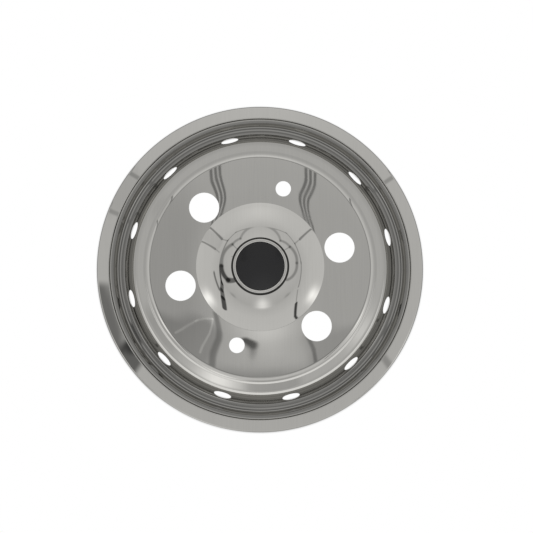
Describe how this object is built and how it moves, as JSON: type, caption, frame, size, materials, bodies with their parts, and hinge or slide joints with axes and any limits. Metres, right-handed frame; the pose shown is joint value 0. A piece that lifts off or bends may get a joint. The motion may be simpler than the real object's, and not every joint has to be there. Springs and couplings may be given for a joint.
{
  "type": "truck wheel cover",
  "caption": "Round pressed steel wheel cover with a raised flat disc, holes for wheel nuts and studs, vent slots in a sloping wall, a domed hub with a black plug and a turned-down lip.",
  "frame": {"origin": "centre of the cover on the floor under its turned-down outer edge", "axes": "+Z along the wheel's axis, out of the face that shows; Y through the two stud holes"},
  "size_m": [0.459, 0.459, 0.0613],
  "materials": {
    "polished_steel": "mirror polished stainless steel",
    "black_plastic": "glossy moulded black"
  },
  "bodies": {
    "root": {"cover_shell": "polished_steel", "centre_plug": "black_plastic"}
  },
  "joints": []
}
